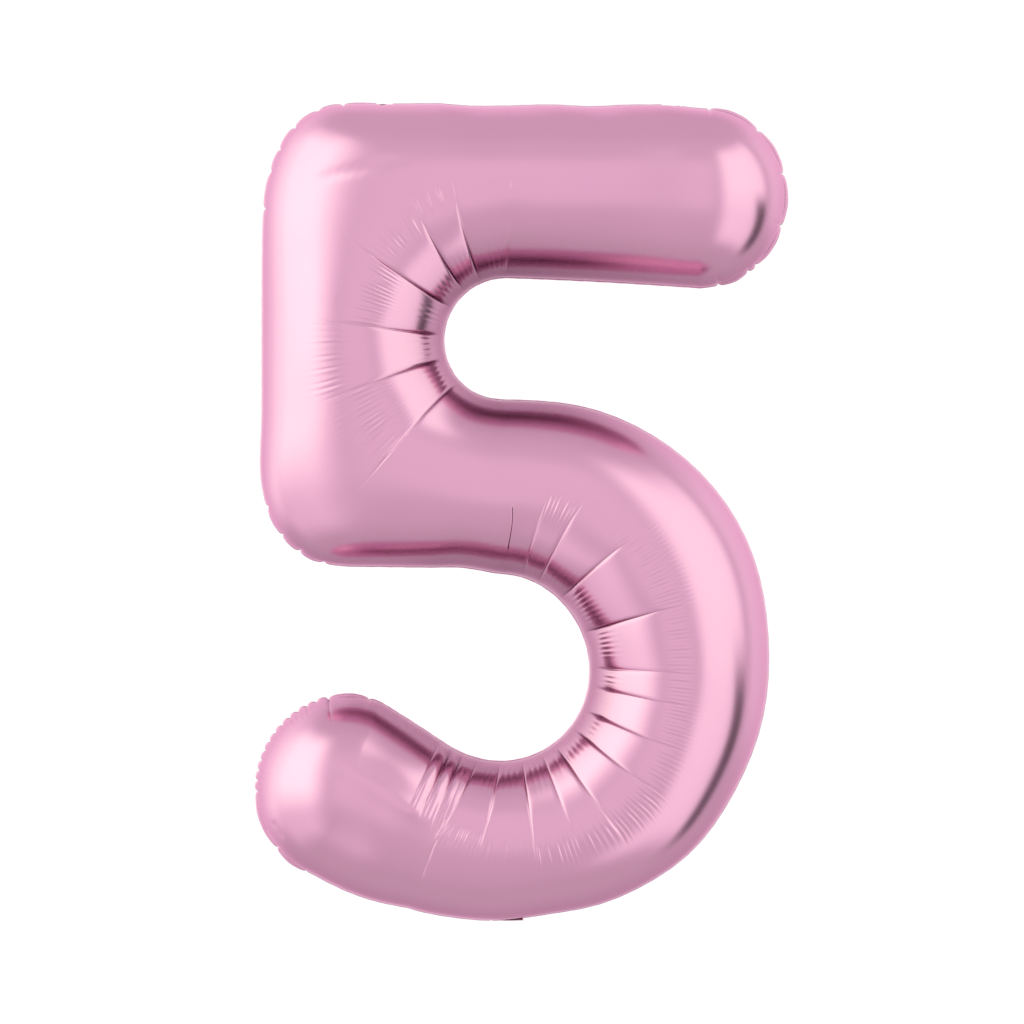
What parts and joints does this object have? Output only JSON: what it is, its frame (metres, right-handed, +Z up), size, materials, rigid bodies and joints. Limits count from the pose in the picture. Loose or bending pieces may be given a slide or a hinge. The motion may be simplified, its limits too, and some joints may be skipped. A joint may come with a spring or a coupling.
{
  "type": "foil number balloon",
  "caption": "Inflated pink metallic foil balloon in the shape of the digit 5, with a welded edge band, a filling neck with a film valve folded behind it, and hang tabs.",
  "frame": {"origin": "where the filling neck leaves the digit: in the plane of the weld, level with the weld band's lowest edge, under the lowest point of the bowl", "axes": "+Z up the digit, -Y the way the front panel faces, +X to the digit's right as seen from the front"},
  "size_m": [0.5556, 0.194, 0.857],
  "materials": {
    "pink_foil": "vacuum-metallised film, pink, high gloss with fine creases",
    "weld_band": "the same film pressed flat and heat-welded, slightly duller",
    "valve_film": "thin milky clear film"
  },
  "bodies": {
    "balloon": {"front_panel": "pink_foil", "back_panel": "pink_foil", "edge_seam": "weld_band"},
    "filling_neck": {"neck_front_ply": "pink_foil", "neck_back_ply": "pink_foil", "valve_front_film": "valve_film", "valve_back_film": "valve_film"},
    "left_tab": {"hang_tab_left": "weld_band"},
    "right_tab": {"hang_tab_right": "weld_band"},
    "front_flap": {"valve_front_flap": "valve_film"},
    "back_flap": {"valve_back_flap": "valve_film"}
  },
  "joints": [
    {"name": "neck_fold", "type": "hinge", "parent": "balloon", "child": "filling_neck", "pos_m": [0, 0.00075, 0.00215], "axis": [-1, 0, 0], "range_deg": [0, 100]},
    {"name": "left_tab_fold", "type": "hinge", "parent": "balloon", "child": "left_tab", "pos_m": [-0.13214, 0.00115, 0.85636], "axis": [1, 0, 0], "range_deg": [0, 100]},
    {"name": "right_tab_fold", "type": "hinge", "parent": "balloon", "child": "right_tab", "pos_m": [0.16786, 0.00115, 0.85476], "axis": [1, 0, 0], "range_deg": [0, 100]},
    {"name": "front_flap_bend", "type": "hinge", "parent": "balloon", "child": "front_flap", "pos_m": [0, -0.0003, 0.007], "axis": [1, 0, 0], "range_deg": [0, 12], "stiffness_Nm_per_rad": 0.0005},
    {"name": "back_flap_bend", "type": "hinge", "parent": "balloon", "child": "back_flap", "pos_m": [0, 0.0003, 0.007], "axis": [-1, 0, 0], "range_deg": [0, 12], "stiffness_Nm_per_rad": 0.0005}
  ],
  "couplings": [
    {"joint": "back_flap_bend", "follows": "front_flap_bend", "ratio": 1}
  ]
}
